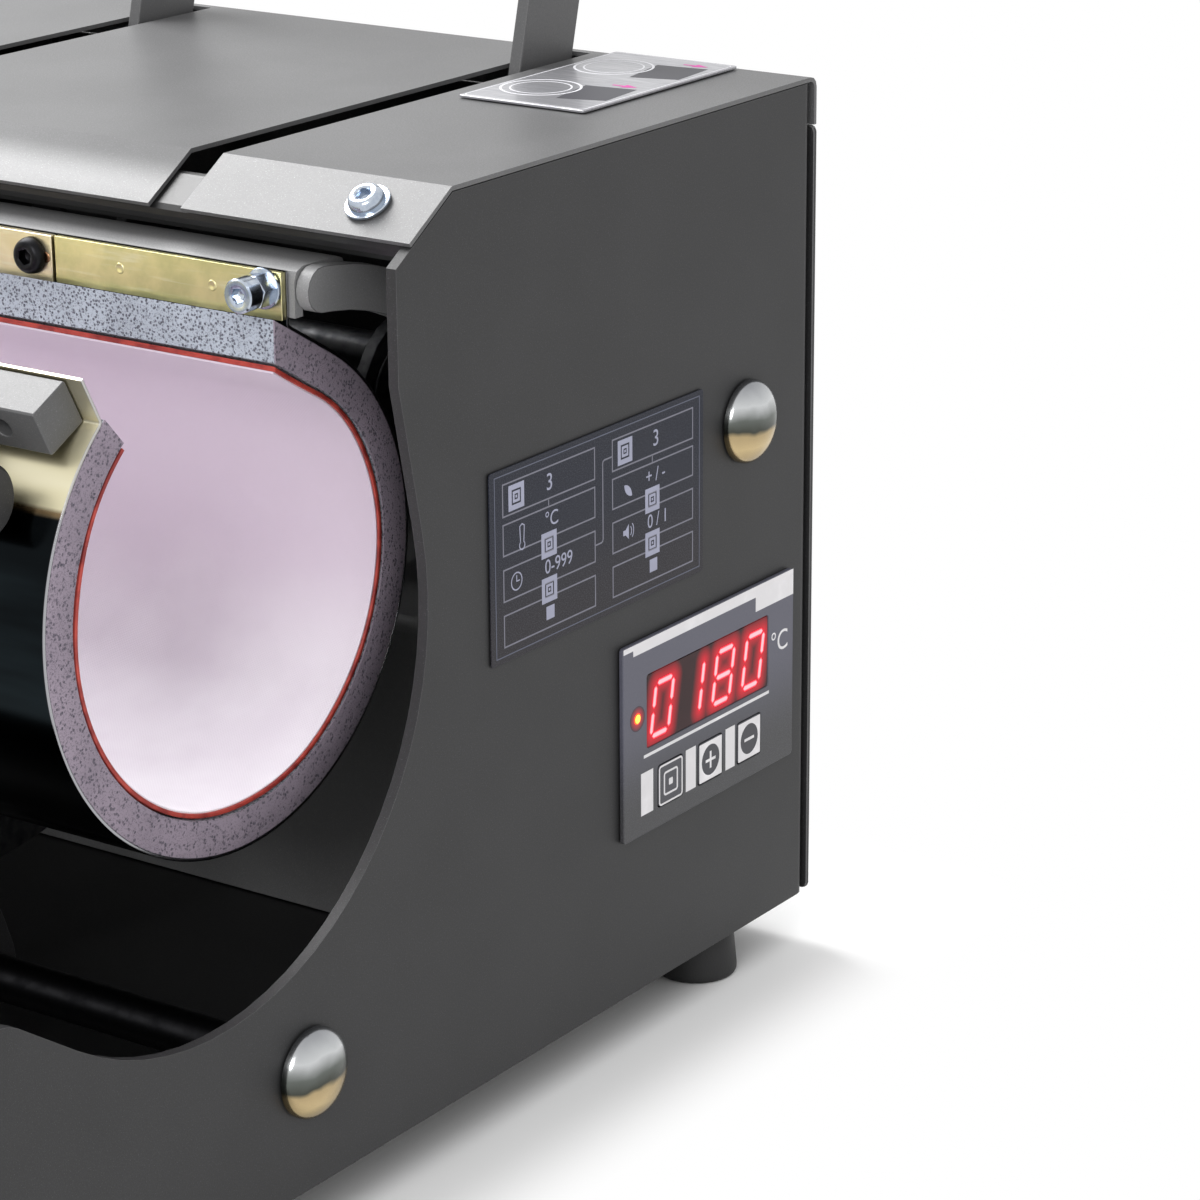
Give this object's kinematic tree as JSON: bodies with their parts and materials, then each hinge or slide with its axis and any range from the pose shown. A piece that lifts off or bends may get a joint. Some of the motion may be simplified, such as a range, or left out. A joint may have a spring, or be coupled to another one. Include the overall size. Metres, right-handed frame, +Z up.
{
  "type": "tumbler heat press",
  "caption": "Tumbler heat press: a looped heater band between a fixed jaw and a front jaw that a tall rear handle pulls shut, with a controller on the right side.",
  "frame": {"origin": "on the table, under the middle of the press's overall box", "axes": "+Z up, -Y to the front where the drinkware goes in, +X to the side that carries the controller"},
  "size_m": [0.3076, 0.3934, 0.46],
  "materials": {
    "coat": "fine textured powder coat",
    "cover": "fine textured powder coat",
    "inner": "matte",
    "zinc": "yellow zinc plate",
    "cream": "pale zinc plate",
    "steel": "bright zinc plate",
    "chrome": "polished",
    "black_screw": "black oxide",
    "black_plastic": "matte",
    "rubber": "matte",
    "foam": "open-pored silicone sponge",
    "mat": "fine weave moulded in silicone",
    "strap": "sprung, bright",
    "slate": "satin film",
    "display": "clear red window",
    "key": "satin",
    "navy": "satin film",
    "silver": "satin"
  },
  "bodies": {
    "housing": {"right_side_plate": "coat", "left_side_plate": "coat", "top_cover": "cover", "front_inner_beam": "cover", "bottom_pan": "inner", "inner_bulkhead": "coat", "rear_panel": "coat", "front_axle": "steel", "right_front_cap": "chrome", "left_front_cap": "chrome", "right_rear_foot": "rubber", "right_front_foot": "rubber", "left_rear_foot": "rubber", "left_front_foot": "rubber", "right_cover_screw": "steel", "left_cover_screw": "steel", "controller_panel": "slate", "controller_module": "black_plastic", "display_window": "display", "side_label": "navy", "top_label": "silver", "power_inlet": "black_plastic", "crossbar": "coat", "right_crossbar_arm": "coat", "left_crossbar_arm": "coat", "right_clamp_strip": "zinc", "left_clamp_strip": "zinc", "centre_clamp_plate": "cream", "right_strap_screw": "steel", "left_strap_screw": "steel", "right_plate_screw": "black_screw", "left_plate_screw": "black_screw", "heater_strap": "strap", "heater_foam": "foam", "heater_mat": "mat"},
    "front_jaw": {"clamp_bar": "coat", "front_cross_tube": "coat", "right_front_arm": "coat", "left_front_arm": "coat", "right_bar_lug": "coat", "left_bar_lug": "coat", "right_clamp_bolt": "chrome", "left_clamp_bolt": "chrome"},
    "handle": {"rear_shaft": "steel", "handle_grip": "rubber", "right_handle_arm": "coat", "left_handle_arm": "coat", "right_eccentric": "steel", "left_eccentric": "steel", "right_grip_screw": "steel", "left_grip_screw": "steel", "right_rear_cap": "chrome", "left_rear_cap": "chrome"},
    "right_link": {"right_pull_link": "steel"},
    "left_link": {"left_pull_link": "steel"},
    "set_key": {"set_button": "key"},
    "plus_key": {"plus_button": "key"},
    "minus_key": {"minus_button": "key"},
    "rocker": {"power_rocker": "key"}
  },
  "joints": [
    {"name": "handle_hinge", "type": "hinge", "parent": "housing", "child": "handle", "pos_m": [0, 0.12094, 0.1673], "axis": [1, 0, 0], "range_deg": [0, 62]},
    {"name": "front_jaw_hinge", "type": "hinge", "parent": "housing", "child": "front_jaw", "pos_m": [0, -0.07686, 0.0478], "axis": [1, 0, 0], "range_deg": [-15, 0], "deforming": ["heater_strap", "heater_foam", "heater_mat"]},
    {"name": "right_link_hinge", "type": "hinge", "parent": "handle", "child": "right_link", "pos_m": [0, 0.11949, 0.15803], "axis": [1, 0, 0], "range_deg": [-61.5, 0]},
    {"name": "left_link_hinge", "type": "hinge", "parent": "handle", "child": "left_link", "pos_m": [0, 0.11949, 0.15803], "axis": [1, 0, 0], "range_deg": [-61.5, 0]},
    {"name": "set_press", "type": "slide", "parent": "housing", "child": "set_key", "axis": [-1, 0, 0], "range_m": [0, 0.0005], "stiffness_N_per_m": 1200},
    {"name": "plus_press", "type": "slide", "parent": "housing", "child": "plus_key", "axis": [-1, 0, 0], "range_m": [0, 0.0005], "stiffness_N_per_m": 1200},
    {"name": "minus_press", "type": "slide", "parent": "housing", "child": "minus_key", "axis": [-1, 0, 0], "range_m": [0, 0.0005], "stiffness_N_per_m": 1200},
    {"name": "rocker_hinge", "type": "hinge", "parent": "housing", "child": "rocker", "pos_m": [0.08, 0.15995, 0.0685], "axis": [0, 0, 1], "range_deg": [-12, 0]}
  ],
  "couplings": [
    {"joint": "front_jaw_hinge", "follows": "handle_hinge", "ratio": -0.24194},
    {"joint": "right_link_hinge", "follows": "handle_hinge", "ratio": -0.99194},
    {"joint": "left_link_hinge", "follows": "handle_hinge", "ratio": -0.99194}
  ]
}
